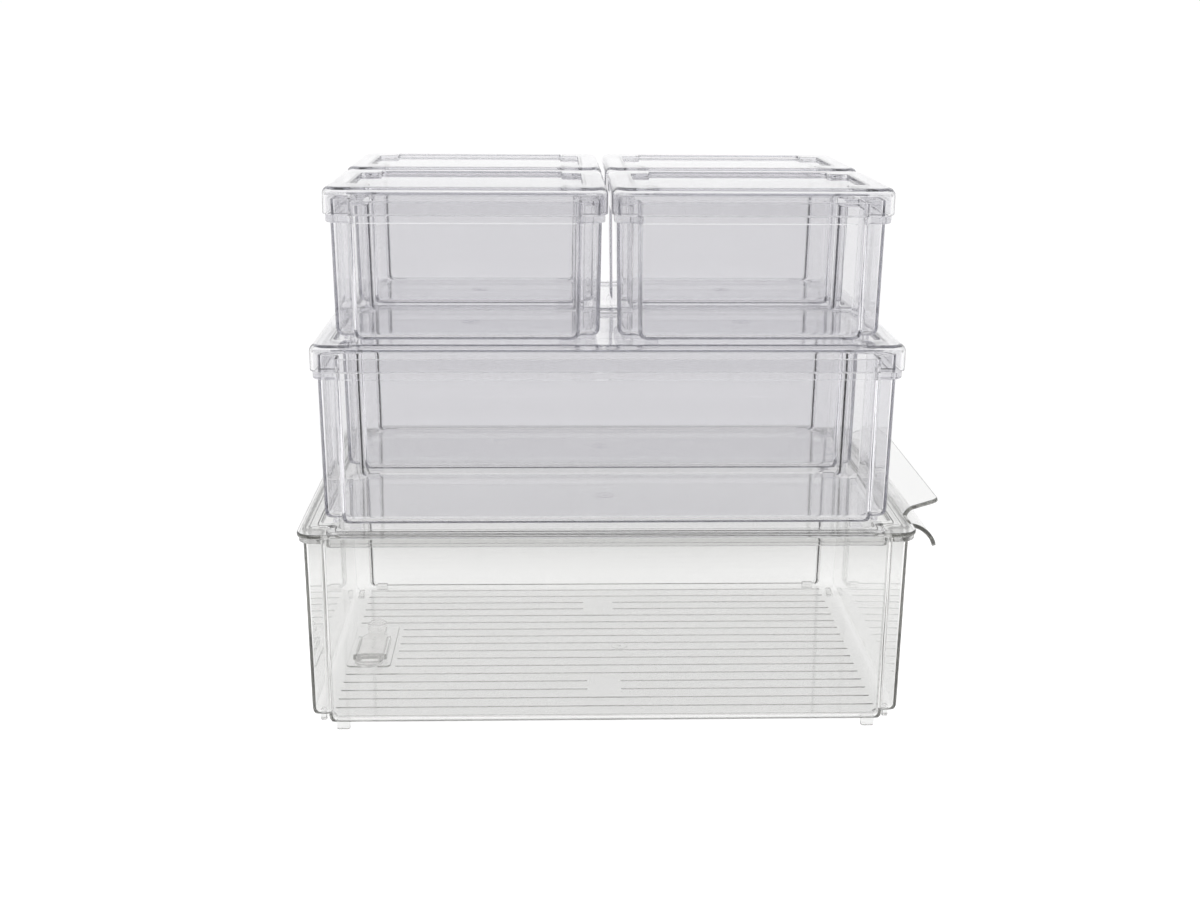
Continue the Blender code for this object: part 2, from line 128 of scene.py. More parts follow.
# Ribs of the large bin's floor
RIB_COUNT = 19
RIB_PITCH = 11.85 * MM
RIB_HEIGHT = 0.8 * MM
RIB_RISE = 0.5 * MM  # a rib's rounded top, a little below the drain's land
RIB_WIDTH = 1.8 * MM
RIB_REACH = 156.3 * MM
RIB_SINK = 0.5 * MM
RIB_CORNER = 0.88 * MM
RIB_EDGE = 0.48 * MM
PAD_HALF_WIDTH = 10.0 * MM
PAD_HALF_DEPTH = 10.0 * MM
PAD_OFFSET = 65.0 * MM

# Drain
DRAIN_X = -144.0 * MM
LAND_SIZE = (27.0 * MM, 66.0 * MM)
LAND_Y = -4.0 * MM
LAND_EDGE = 0.4 * MM
SLOT_SIZE = (12.0 * MM, 10.0 * MM)
SLOT_Y = -27.0 * MM
SEAL_WIDTH = 2.0 * MM
SEAL_THICKNESS = 0.9 * MM
SEAL_EDGE = 0.25 * MM
SLIDE_SIZE = (17.0 * MM, 52.0 * MM)
SLIDE_Y = -14.0 * MM
SLIDE_THICKNESS = 1.8 * MM
SLIDE_CORNER = 8.0 * MM
SLIDE_EDGE = 0.5 * MM
SLIDE_FOOT = 0.2 * MM
SLIDE_STEPS = 8
TAIL_WIDTH = 11.0 * MM
TAIL_END = 27.0 * MM
TAIL_DROP = 0.05 * MM  # its roundings less than the slide's own
KNOB_RADIUS = 6.2 * MM
KNOB_HEIGHT = 4.0 * MM
KNOB_Y = 20.0 * MM
KNOB_EDGE = 1.0 * MM
KNOB_HOLLOW = (4.0 * MM, 1.2 * MM)  # radius and depth of the finger hollow in its top
GROOVE_SIZE = (1.4 * MM, 18.0 * MM)
GROOVE_Y = -3.5 * MM
GROOVE_DEPTH = 0.8 * MM
GROOVE_CORNER = 0.6 * MM
RAIL_WIDTH = 1.5 * MM
RAIL_LIP = 1.2 * MM
RAIL_LIP_HEIGHT = 1.0 * MM
RAIL_LENGTH = 30.0 * MM
RAIL_Y = -12.0 * MM
RAIL_EDGE = 0.3 * MM


# Outlines


def quarter_arcs(corners, radii, steps):
    points = []
    for index, (corner, radius) in enumerate(zip(corners, radii)):
        here = Vector(corner)
        back = (Vector(corners[index - 1]) - here).normalized()
        ahead = (Vector(corners[(index + 1) % len(corners)]) - here).normalized()
        middle = here + radius * (back + ahead)
        for step in range(steps + 1):
            turn = math.pi / 2 * step / steps
            points.append(middle - radius * (ahead * math.cos(turn) + back * math.sin(turn)))
    return points


def notched(half, inset=0.0):
    """A rectangle with a square step in each corner, pulled in by inset."""
    x, y = half[0] - inset, half[1] - inset
    quarter = [(x - NOTCH, y), (x - NOTCH, y - NOTCH), (x, y - NOTCH)]
    corners = [(px, -py) for px, py in quarter]
    corners += list(reversed(quarter))
    corners += [(-px, py) for px, py in quarter]
    corners += [(-px, -py) for px, py in reversed(quarter)]
    outer = max(CORNER - inset, SMALLEST_RADIUS)
    return quarter_arcs(corners, [outer, HOLLOW + inset, outer] * 4, ARC)


def rounded_box(half, radius, partner, inset=0.0):
    """A rounded rectangle with its points in step with those of a notched outline inside it."""
    x, y, radius = half[0] - inset, half[1] - inset, radius - inset
    points = []
    for index, near in enumerate(partner):
        quadrant, place = divmod(index, 3 * (ARC + 1))
        group, step = divmod(place, ARC + 1)
        side_x = (1, 1, -1, -1)[quadrant]
        side_y = (-1, 1, 1, -1)[quadrant]
        if group == 1:
            turn = math.pi / 2 * (quadrant - 1 + step / ARC)
            points.append(Vector((
                side_x * (x - radius) + radius * math.cos(turn),
                side_y * (y - radius) + radius * math.sin(turn),
            )))
        elif (group == 0) == (quadrant % 2 == 0):
            points.append(Vector((near.x, side_y * y)))
        else:
            points.append(Vector((side_x * x, near.y)))
    return points


def plain_box(half, radius, centre=(0.0, 0.0), steps=ARC):
    x, y = half
    corners = [(-x, -y), (x, -y), (x, y), (-x, y)]
    moved = [(px + centre[0], py + centre[1]) for px, py in corners]
    return quarter_arcs(moved, [radius] * 4, steps)


# Meshes


def mesh_of(name, shape):
    bmesh.ops.remove_doubles(shape, verts=shape.verts, dist=1e-6)
    bmesh.ops.recalc_face_normals(shape, faces=shape.faces)
    mesh = bpy.data.meshes.new(name)
    shape.to_mesh(mesh)
    shape.free()
    return mesh


def skinned(name, rings):
    """A closed surface through rings of points, all with the same number of points."""
    shape = bmesh.new()
    verts = [[shape.verts.new(point) for point in ring] for ring in rings]
    for lower, upper in zip(verts, verts[1:]):
        count = len(lower)
        for index in range(count):
            after = (index + 1) % count
            shape.faces.new((lower[index], lower[after], upper[after], upper[index]))
    shape.faces.new(list(reversed(verts[0])))
    shape.faces.new(verts[-1])
    return mesh_of(name, shape)


def loft(name, sections):
    """A closed surface through flat rings of (outline, height)."""
    return skinned(name, [[(x, y, z) for x, y in outline] for outline, z in sections])


def arc(steps=EDGE_ARC):
    return [math.pi / 2 * step / steps for step in range(steps + 1)]


def soft_prism(name, outline_at, low, high, top=FINE_EDGE, bottom=0.0):
    """A prism whose top and bottom edges are rounded. outline_at(inset) gives its outline."""
    sections = []
    if bottom:
        for turn in arc():
            pulled, raised = bottom * (1 - math.sin(turn)), bottom * (1 - math.cos(turn))
            sections.append((outline_at(pulled), low + raised))
    else:
        sections.append((outline_at(0.0), low))
    for turn in arc():
        sections.append((outline_at(top * (1 - math.cos(turn))), high - top * (1 - math.sin(turn))))
    return loft(name, sections)


def soft_box(name, low, high, corner, top=FINE_EDGE, bottom=0.0, steps=4):
    centre = ((low[0] + high[0]) / 2, (low[1] + high[1]) / 2)
    half = ((high[0] - low[0]) / 2, (high[1] - low[1]) / 2)

    def outline_at(inset):
        kept = max(corner - inset, HIDDEN_EDGE / 2)
        return plain_box((half[0] - inset, half[1] - inset), kept, centre, steps)

    return soft_prism(name, outline_at, low[2], high[2], top, bottom)


def soft_disc(name, radius, low, high, centre, top=FINE_EDGE, bottom=0.0, sides=40):
    def outline_at(inset):
        return [
            Vector((
                centre[0] + (radius - inset) * math.cos(math.tau * side / sides),
                centre[1] + (radius - inset) * math.sin(math.tau * side / sides),
            ))
            for side in range(sides)
        ]

    return soft_prism(name, outline_at, low, high, top, bottom)


def joined(name, meshes):
    """Meshes that don't touch each other, as one."""
    shape = bmesh.new()
    for mesh in meshes:
        shape.from_mesh(mesh)
    return mesh_of(name, shape)


def combined(base, unions=(), cuts=()):
    """The base mesh with the unions added to it, and then the cuts taken out of it."""
    scene = bpy.context.scene
    body = bpy.data.objects.new(base.name, base)
    scene.collection.objects.link(body)
    tools = []
    for operation, meshes in (("UNION", unions), ("DIFFERENCE", cuts)):
        for mesh in meshes:
            tool = bpy.data.objects.new(mesh.name, mesh)
            scene.collection.objects.link(tool)
            tools.append(tool)
            boolean = body.modifiers.new(mesh.name, "BOOLEAN")
            boolean.operation = operation
            boolean.solver = "EXACT"
            boolean.object = tool
    graph = bpy.context.evaluated_depsgraph_get()
    result = bpy.data.meshes.new_from_object(body.evaluated_get(graph))
    result.name = base.name
    for item in [body] + tools:
        bpy.data.objects.remove(item)
    return result


def strip(name, line, thickness, width, tip_corner):
    """A bent sheet with soft edges: a line of (x, z) run along Y, narrowed at its tip by round corners."""
    count = len(line)
    lengths = [0.0]
    for before, after in zip(line, line[1:]):
        lengths.append(lengths[-1] + (Vector(after) - Vector(before)).length)
    total = lengths[-1]
    edge = thickness * GRIP_EDGE
    rings = []
    for index, point in enumerate(line):
        before = line[max(index - 1, 0)]
        after = line[min(index + 1, count - 1)]
        along = (Vector(after) - Vector(before)).normalized()
        side = Vector((-along.y, along.x))
        left = total - lengths[index]
        pull = 0.0
        if left < tip_corner:
            pull = tip_corner - math.sqrt(max(tip_corner ** 2 - (tip_corner - left) ** 2, 0.0))
        half = width / 2 - pull
        slim = thickness / 2
        if left < edge:
            slim -= edge - math.sqrt(max(edge ** 2 - (edge - left) ** 2, 0.0))
        inner = min(edge, slim)
        section = []
        for sign_y, sign_s, rising in ((-1, -1, True), (1, -1, False), (1, 1, True), (-1, 1, False)):
            turns = arc(3)
            for turn in turns if rising else reversed(turns):
                section.append((
                    sign_y * (half - inner * (1 - math.cos(turn))),
                    sign_s * (slim - inner * (1 - math.sin(turn))),
                ))
        rings.append([
            (point[0] + side.x * s, y, point[1] + side.y * s) for y, s in section
        ])
    return skinned(name, rings)


# Bins and lids


def wall_inset(z, rim):
    """How far the wall has drawn in at this height, from its draft."""
    return DRAFT * (rim - z) / (rim - BEND)


def bin_sections(half, outer_rings):
    """A bin's rings from under its floor, up the outside, over the rim and down the inside."""
    sections = []
    for turn in arc():
        pulled = DRAFT + BEND * (1 - math.sin(turn))
        sections.append((notched(half, pulled), BEND * (1 - math.cos(turn))))
    sections += outer_rings
    inner_bend = BEND - WALL
    for turn in reversed(arc()):
        pulled = WALL + DRAFT + inner_bend * (1 - math.sin(turn))
        sections.append((notched(half, pulled), FLOOR + inner_bend * (1 - math.cos(turn))))
    return sections


def rim_rings(half, rim, outer=True):
    """Over the top edge of the wall. The large bin's outer edge is part of its flange."""
    rings = []
    if outer:
        for turn in arc():
            pulled = RIM_EDGE * (1 - math.cos(turn))
            rings.append((notched(half, pulled), rim - RIM_EDGE * (1 - math.sin(turn))))
    for turn in reversed(arc()):
        pulled = WALL - RIM_EDGE * (1 - math.cos(turn))
        rings.append((notched(half, pulled), rim - RIM_EDGE * (1 - math.sin(turn))))
    return rings


def flange_rings(half, box_half, radius, low, high, rim, back_to_wall):
    """A ledge with the plan of a rounded box, on the outside of a notched wall."""
    inset = wall_inset(low, rim)
    low_wall = notched(half, inset)
    rings = [(low_wall, low - FINE_EDGE), (notched(half, inset - FINE_EDGE), low)]
    for turn in arc():
        pulled = FINE_EDGE * (1 - math.sin(turn))
        height = low + FINE_EDGE * (1 - math.cos(turn))
        rings.append((rounded_box(box_half, radius, low_wall, pulled), height))
    for turn in arc():
        pulled = FINE_EDGE * (1 - math.cos(turn))
        height = high - FINE_EDGE * (1 - math.sin(turn))
        rings.append((rounded_box(box_half, radius, low_wall, pulled), height))
    if back_to_wall:
        rings.append((notched(half, wall_inset(high, rim)), high))
    return rings


def foot_meshes(half, height):
    """Two bars beside each notch: one under the end of the long wall, one under the side wall."""
    x, y = half[0] - DRAFT, half[1] - DRAFT
    made = []
    for side_x in (-1, 1):
        for side_y in (-1, 1):
            bars = (
                (side_x * (x - NOTCH - FOOT_LENGTH), side_y * (y - FOOT_INSET), FOOT_LENGTH, FOOT_WIDTH),
                (side_x * (x - FOOT_INSET - FOOT_WIDTH / 2), side_y * (y - NOTCH - FOOT_LENGTH),
                 FOOT_WIDTH, FOOT_LENGTH),
            )
            for middle_x, middle_y, length, width in bars:
                made.append(soft_box(
                    "foot",
                    (middle_x - length / 2, middle_y - width / 2, -height),
                    (middle_x + length / 2, middle_y + width / 2, FLOOR / 2),
                    FOOT_CORNER,
                    top=HIDDEN_EDGE,
                    bottom=FOOT_EDGE,
                ))
    return made


def gate_mark(x, y):
    """A faint moulded ring with a dot in it, on a floor."""
    low = FLOOR - MARK_SINK
    ring = soft_disc("mark", MARK_RADIUS, low, FLOOR + MARK_RISE, (x, y), top=HIDDEN_EDGE)
    hole = soft_disc(
        "mark_hole", MARK_RADIUS - MARK_LINE, low - MARK_SINK, FLOOR + 2 * MARK_SINK, (x, y),
        top=HIDDEN_EDGE,
    )
    dot = soft_disc(
        "mark_dot", DOT_RADIUS, low, FLOOR + DOT_RISE, (x, y), top=0.75 * DOT_RISE, sides=20
    )
    return [combined(ring, [], [hole]), dot]


def lidded_bin_mesh(name, size):
    length, depth, height = size
    half = (length / 2 - LID_OVERHANG, depth / 2 - LID_OVERHANG)
    rim = height - RIM_DROP
    top = height - SKIRT_DEPTH - GAP
    box_half = (length / 2 - LEDGE_INSET, depth / 2 - LEDGE_INSET)
    rings = flange_rings(half, box_half, LID_CORNER - LEDGE_INSET, top - LEDGE, top, rim, True)
    rings += rim_rings(half, rim)
    body = loft(name, bin_sections(half, rings))
    feet = joined("feet", foot_meshes(half, STACK_FOOT_HEIGHT))
    return combined(body, [feet, joined("marks", gate_mark(0.0, 0.0))])


def lid_top_rings(half, panel, top_edge, skirt_bottom):
    """Rings from the outer foot of a lid's edge, over its top and down into the recess."""
    partner = notched(panel, -RECESS_EDGE)
    rings = []
    for turn in arc():
        pulled = FINE_EDGE * (1 - math.sin(turn))
        height = skirt_bottom + FINE_EDGE * (1 - math.cos(turn))
        rings.append((rounded_box(half, LID_CORNER, partner, pulled), height))
    for turn in arc(6):
        pulled = top_edge * (1 - math.cos(turn))
        rings.append((rounded_box(half, LID_CORNER, partner, pulled), -top_edge * (1 - math.sin(turn))))
    for turn in reversed(arc()):
        # the recess's upper edge rounds over from the level border into its wall
        pulled = -RECESS_EDGE * (1 - math.cos(turn))
        rings.append((notched(panel, pulled), -RECESS_EDGE * (1 - math.sin(turn))))
    for turn in arc():
        pulled = RECESS_FOOT * (1 - math.cos(turn))
        rings.append((notched(panel, pulled), -RECESS + RECESS_FOOT * (1 - math.sin(turn))))
    return rings


def tray_rings(panel, level):
    """Rings under a lid, from its middle out and up round the underside of the recess."""
    rings = []
    under = (panel[0] + WALL, panel[1] + WALL)
    for turn in arc():
        pulled = UNDER_EDGE * (1 - math.sin(turn))
        rings.append((notched(under, pulled), level - RECESS + UNDER_EDGE * (1 - math.cos(turn))))
    rings.append((notched(under, 0.0), level))
    return rings


def skirted_lid_mesh(name, size, border):
    half = (size[0] / 2, size[1] / 2)
    panel = (half[0] - border[0], half[1] - border[1])
    partner = notched((panel[0] + WALL, panel[1] + WALL))
    sections = tray_rings(panel, -PLATE)
    inner = (half[0] - SKIRT_WALL, half[1] - SKIRT_WALL)
    inner_corner = LID_CORNER - SKIRT_WALL
    under_edge = TOP_EDGE - SKIRT_WALL
    for turn in arc():
        pulled = under_edge * (1 - math.sin(turn))
        height = -PLATE - under_edge * (1 - math.cos(turn))
        sections.append((rounded_box(inner, inner_corner, partner, pulled), height))
    for turn in arc():
        pulled = -FINE_EDGE * (1 - math.cos(turn))
        height = -SKIRT_DEPTH + FINE_EDGE * (1 - math.sin(turn))
        sections.append((rounded_box(inner, inner_corner, partner, pulled), height))
    sections += lid_top_rings(half, panel, TOP_EDGE, -SKIRT_DEPTH)
    return loft(name, sections)


def handle_line():
    start_x = LARGE_LENGTH / 2 - 2 * LARGE_FLANGE_INSET
    start_z = LARGE_HEIGHT - PLATE - GAP - GRIP_THICKNESS / 2
    lip_x = LARGE_LENGTH / 2 + HANDLE_REACH - GRIP_THICKNESS / 2
    centre_x = lip_x - HANDLE_RADIUS * math.sin(HANDLE_SWEEP)
    line = [(start_x, start_z)]
    for step in range(GRIP_STEPS + 1):
        turn = HANDLE_SWEEP * step / GRIP_STEPS
        drop = HANDLE_RADIUS * (1 - math.cos(turn))
        line.append((centre_x + HANDLE_RADIUS * math.sin(turn), start_z - drop))
    return line


def tab_line():
    half = LARGE_LENGTH / 2
    line = [Vector((half - GRIP_THICKNESS / 2, -PLATE / 2))]
    heading = TAB_STEEP
    step_length = TAB_BEND * (TAB_STEEP - TAB_SLOPE) / GRIP_STEPS
    for _ in range(GRIP_STEPS):
        line.append(line[-1] + step_length * Vector((math.cos(heading), math.sin(heading))))
        heading -= (TAB_STEEP - TAB_SLOPE) / GRIP_STEPS
    end_x = half + TAB_REACH - GRIP_THICKNESS / 2 * math.sin(TAB_SLOPE)
    run = end_x - line[-1].x
    start = line[-1]
    for share in TAB_SHARES:
        line.append(start + Vector((run, run * math.tan(TAB_SLOPE))) * share)
    return line


def rib_meshes():
    land_right = DRAIN_X + LAND_SIZE[0] / 2
    made = []
    for index in range(RIB_COUNT):
        y = (index - (RIB_COUNT - 1) / 2) * RIB_PITCH
        start = -RIB_REACH
        if abs(y - LAND_Y) < LAND_SIZE[1] / 2 + RIB_WIDTH:
            start = land_right + RIB_PITCH / 4
        spans = [(start, RIB_REACH)]
        if abs(abs(y) - PAD_OFFSET) < PAD_HALF_DEPTH:
            spans = [(start, -PAD_HALF_WIDTH), (PAD_HALF_WIDTH, RIB_REACH)]
        for low, high in spans:
            made.append(soft_box(
                "rib",
                (low, y - RIB_WIDTH / 2, FLOOR - RIB_SINK),
                (high, y + RIB_WIDTH / 2, FLOOR + RIB_RISE),
                RIB_CORNER,
                top=RIB_EDGE,
            ))
    return made


def rail_meshes():
    land_top = FLOOR + RIB_HEIGHT
    under_lip = land_top + SLIDE_THICKNESS + 2 * GAP
    top = under_lip + RAIL_LIP_HEIGHT
    front, rear = RAIL_Y - RAIL_LENGTH / 2, RAIL_Y + RAIL_LENGTH / 2
    posts, lips = [], []
    for side in (-1, 1):
        inner = DRAIN_X + side * (SLIDE_SIZE[0] / 2 + GAP)
        outer = inner + side * RAIL_WIDTH
        low, high = sorted((inner, outer))
        posts.append(soft_box(
            "post", (low, front, land_top - RIB_SINK), (high, rear, top), RAIL_EDGE, top=RAIL_EDGE
        ))
        low, high = sorted((inner - side * RAIL_LIP, outer - side * RAIL_EDGE))
        lips.append(soft_box(
            "lip",
            (low, front + RAIL_EDGE, under_lip),
            (high, rear - RAIL_EDGE, top - HIDDEN_EDGE),
            RAIL_EDGE,
            top=RAIL_EDGE,
        ))
    return posts, lips


def large_bin_mesh():
    half = (LARGE_LENGTH / 2 - LARGE_OVERHANG, LARGE_DEPTH / 2 - LARGE_OVERHANG)
    rim = LARGE_HEIGHT - PLATE - GAP
    box_half = (LARGE_LENGTH / 2 - LARGE_FLANGE_INSET, LARGE_DEPTH / 2 - LARGE_FLANGE_INSET)
    corner = LID_CORNER - LARGE_FLANGE_INSET
    rings = flange_rings(half, box_half, corner, rim - LARGE_FLANGE, rim, rim, False)
    rings += rim_rings(half, rim, outer=False)
    body = loft("large_bin", bin_sections(half, rings))

    land_top = FLOOR + RIB_HEIGHT
    land = soft_box(
        "land",
        (DRAIN_X - LAND_SIZE[0] / 2, LAND_Y - LAND_SIZE[1] / 2, FLOOR - RIB_SINK),
        (DRAIN_X + LAND_SIZE[0] / 2, LAND_Y + LAND_SIZE[1] / 2, land_top),
        CORNER,
        top=LAND_EDGE,
    )
    posts, lips = rail_meshes()
    slot = soft_box(
        "slot",
        (DRAIN_X - SLOT_SIZE[0] / 2, SLOT_Y - SLOT_SIZE[1] / 2, -FLOOR),
        (DRAIN_X + SLOT_SIZE[0] / 2, SLOT_Y + SLOT_SIZE[1] / 2, 2 * FLOOR),
        HOLLOW,
        top=HIDDEN_EDGE,
    )
    reach = SEAL_WIDTH + GAP
    seat = soft_box(
        "seat",
        (DRAIN_X - SLOT_SIZE[0] / 2 - reach, SLOT_Y - SLOT_SIZE[1] / 2 - reach, land_top - SEAL_THICKNESS),
        (DRAIN_X + SLOT_SIZE[0] / 2 + reach, SLOT_Y + SLOT_SIZE[1] / 2 + reach, 2 * FLOOR),
        HOLLOW + SEAL_WIDTH,
        top=HIDDEN_EDGE,
    )
    handle = strip("handle", handle_line(), GRIP_THICKNESS, HANDLE_WIDTH, TIP_CORNER)
    additions = [
        handle,
        joined("feet", foot_meshes(half, LARGE_FOOT_HEIGHT)),
        joined("ribs", rib_meshes()),
        land,
        joined("posts", posts),
        joined("lips", lips),
        joined("marks", gate_mark(*LARGE_MARK)),
    ]
    return combined(body, additions, [slot, seat])


def large_lid_mesh():
    half = (LARGE_LENGTH / 2, LARGE_DEPTH / 2)
    panel = (half[0] - LARGE_BORDER[0], half[1] - LARGE_BORDER[1])
    partner = notched((panel[0] + WALL, panel[1] + WALL))
    sections = tray_rings(panel, -PLATE)
    ring_half = (
        half[0] - LARGE_OVERHANG - WALL - LARGE_RING_GAP,
        half[1] - LARGE_OVERHANG - WALL - LARGE_RING_GAP,
    )
    foot = -PLATE - LARGE_RING_DEPTH
    sections.append((notched(ring_half, WALL), -PLATE))
    for turn in arc():
        pulled = WALL - FINE_EDGE * (1 - math.cos(turn))
        sections.append((notched(ring_half, pulled), foot + FINE_EDGE * (1 - math.sin(turn))))
    for turn in reversed(arc()):
        pulled = FINE_EDGE * (1 - math.cos(turn))
        sections.append((notched(ring_half, pulled), foot + FINE_EDGE * (1 - math.sin(turn))))
    sections.append((notched(ring_half, 0.0), -PLATE))
    sections += lid_top_rings(half, panel, LARGE_TOP_EDGE, -PLATE)
    body = loft("large_lid", sections)
    tab = strip("tab", tab_line(), GRIP_THICKNESS, TAB_WIDTH, TIP_CORNER)
    return combined(body, [tab])


def drain_slide_mesh():
    half = (SLIDE_SIZE[0] / 2, SLIDE_SIZE[1] / 2)
    plate = soft_box(
        "drain_slide",
        (-half[0], SLIDE_Y - half[1], 0.0),
        (half[0], SLIDE_Y + half[1], SLIDE_THICKNESS),
        SLIDE_CORNER,
        top=SLIDE_EDGE,
        bottom=SLIDE_FOOT,
        steps=SLIDE_STEPS,
    )
    tail = soft_box(
        "tail",
        (-TAIL_WIDTH / 2, SLIDE_Y, 0.0),
        (TAIL_WIDTH / 2, TAIL_END, SLIDE_THICKNESS),
        TAIL_WIDTH / 2 - GAP,
        top=SLIDE_EDGE - TAIL_DROP,
        bottom=SLIDE_FOOT - TAIL_DROP,
        steps=SLIDE_STEPS,
    )
    knob_top = SLIDE_THICKNESS + KNOB_HEIGHT
    knob = soft_disc("knob", KNOB_RADIUS, SLIDE_THICKNESS / 2, knob_top, (0.0, KNOB_Y), top=KNOB_EDGE)
    groove = soft_box(
        "groove",
        (-GROOVE_SIZE[0] / 2, GROOVE_Y - GROOVE_SIZE[1] / 2, SLIDE_THICKNESS - GROOVE_DEPTH),
        (GROOVE_SIZE[0] / 2, GROOVE_Y + GROOVE_SIZE[1] / 2, 2 * SLIDE_THICKNESS),
        GROOVE_CORNER,
        top=HIDDEN_EDGE,
    )
    hollow = soft_disc(
        "hollow", KNOB_HOLLOW[0], knob_top - KNOB_HOLLOW[1], knob_top + MM, (0.0, KNOB_Y),
        top=HIDDEN_EDGE, bottom=FINE_EDGE,
    )
    return combined(plate, [tail, knob], [groove, hollow])


def drain_seal_mesh():
    half = (SLOT_SIZE[0] / 2, SLOT_SIZE[1] / 2)
    ring = soft_box(
        "drain_seal",
        (-half[0] - SEAL_WIDTH, -half[1] - SEAL_WIDTH, GAP),
        (half[0] + SEAL_WIDTH, half[1] + SEAL_WIDTH, SEAL_THICKNESS),
        HOLLOW + SEAL_WIDTH,
        top=SEAL_EDGE,
    )
    hole = soft_box(
        "hole",
        (-half[0], -half[1], -FLOOR),
        (half[0], half[1], FLOOR),
        HOLLOW,
        top=HIDDEN_EDGE,
    )
    return combined(ring, [], [hole])


# Materials


def node_of(tree, kind, **inputs):
    node = tree.nodes.new(kind)
    for name, value in inputs.items():
        node.inputs[name.replace("_", " ")].default_value = value
    return node


def noise(tree, place, **inputs):
    node = node_of(tree, "ShaderNodeTexNoise", **inputs)
    tree.links.new(place, node.inputs["Vector"])
    return node.outputs["Fac"]


def between(tree, factor, first, second):
    """A colour that goes from the first to the second with the factor."""
    mix = tree.nodes.new("ShaderNodeMix")
    mix.data_type = "RGBA"
    mix.inputs[6].default_value = (*first, 1.0)
    mix.inputs[7].default_value = (*second, 1.0)
    tree.links.new(factor, mix.inputs["Factor"])
    return mix.outputs[2]


def ranged(tree, value, **limits):
    node = node_of(tree, "ShaderNodeMapRange", **limits)
    tree.links.new(value, node.inputs["Value"])
    return node.outputs["Result"]


def bumped(tree, height, strength, distance):
    node = node_of(tree, "ShaderNodeBump", Strength=strength, Distance=distance)
    tree.links.new(height, node.inputs["Height"])
    return node.outputs["Normal"]


def new_plastic(name, ior, transmission):
    """A see-through material, with its node tree, its shader and its object coordinates."""
    made = bpy.data.materials.new(name)
    made.use_nodes = True
    shader = made.node_tree.nodes["Principled BSDF"]
    shader.inputs["IOR"].default_value = ior
    shader.inputs["Transmission Weight"].default_value = transmission
    place = made.node_tree.nodes.new("ShaderNodeTexCoord").outputs["Object"]
    return made, made.node_tree, shader, place


def clear_plastic(name, light, dark, depth_colour, depth_density):
    """Clear moulded plastic: a faint tint that varies, darker in its depth, with slow flow waves."""
    made, tree, shader, place = new_plastic(name, 1.57, 1.0)
    link = tree.links.new
    tone = noise(tree, place, Scale=9.0, Detail=2.0, Roughness=0.5)
    link(between(tree, tone, light, dark), shader.inputs["Base Color"])
    stretch = node_of(tree, "ShaderNodeMapping", Scale=(40.0, 55.0, 900.0))
    link(place, stretch.inputs["Vector"])
    scuff = noise(tree, stretch.outputs["Vector"], Scale=1.0, Detail=4.0, Roughness=0.6)
    rough = ranged(tree, scuff, From_Min=0.45, From_Max=0.85, To_Min=0.0, To_Max=0.02)
    link(rough, shader.inputs["Roughness"])
    wave = noise(tree, place, Scale=14.0, Detail=1.0, Roughness=0.3)
    link(bumped(tree, wave, 0.015, 0.0012), shader.inputs["Normal"])
    depth = tree.nodes.new("ShaderNodeVolumeAbsorption")
    depth.inputs["Color"].default_value = (*depth_colour, 1.0)
    depth.inputs["Density"].default_value = depth_density
    link(depth.outputs["Volume"], tree.nodes["Material Output"].inputs["Volume"])
    return made


def grained_plastic(name, ior, transmission, grain, colours, roughness, bump):
    """A material whose tint, roughness and bump follow one fine noise: its scale, detail and roughness."""
    made, tree, shader, place = new_plastic(name, ior, transmission)
    fine = noise(tree, place, Scale=grain[0], Detail=grain[1], Roughness=grain[2])
    tree.links.new(between(tree, fine, *colours), shader.inputs["Base Color"])
    rough = ranged(tree, fine, To_Min=roughness[0], To_Max=roughness[1])
    tree.links.new(rough, shader.inputs["Roughness"])
    tree.links.new(bumped(tree, fine, *bump), shader.inputs["Normal"])
    return made


COOL = clear_plastic(
    "cool_clear", (0.968, 0.966, 0.974), (0.952, 0.950, 0.959), (0.80, 0.80, 0.82), 38.0
)
WARM = clear_plastic(
    "warm_clear", (0.850, 0.850, 0.846), (0.832, 0.832, 0.828), (0.80, 0.80, 0.79), 36.0
)
WARM_LID = clear_plastic(
    "warm_lid_clear", (0.918, 0.918, 0.915), (0.900, 0.900, 0.897), (0.80, 0.80, 0.79), 30.0
)
MILKY = grained_plastic(
    "milky_drain", 1.5, 1.0, (160.0, 3.0, 0.55), ((0.99, 0.98, 0.975), (1.0, 1.0, 0.995)), (0.05, 0.14),
    (0.15, 0.0003),
)
SEAL = grained_plastic(
    "white_silicone", 1.42, 0.85, (900.0, 2.0, 0.5), ((0.95, 0.94, 0.935), (0.99, 0.985, 0.98)),
    (0.22, 0.34), (0.2, 0.0001),
)


# Pieces


def place_piece(name, mesh, centre, look, body, node):
    piece = bpy.data.objects.new(name, mesh)
    piece.location = centre
    bpy.context.scene.collection.objects.link(piece)
    mesh.materials.clear()
    mesh.materials.append(look)
    mesh.shade_smooth()
    mesh.set_sharp_from_angle(angle=SHARP)
    weighted = piece.modifiers.new("even_normals", "WEIGHTED_NORMAL")
    weighted.mode = "FACE_AREA"
    weighted.weight = 100  # the largest
    weighted.keep_sharp = True
    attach(piece, body)
    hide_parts(node)


def middle(node):
    low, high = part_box(node)
    return (low + high) / 2


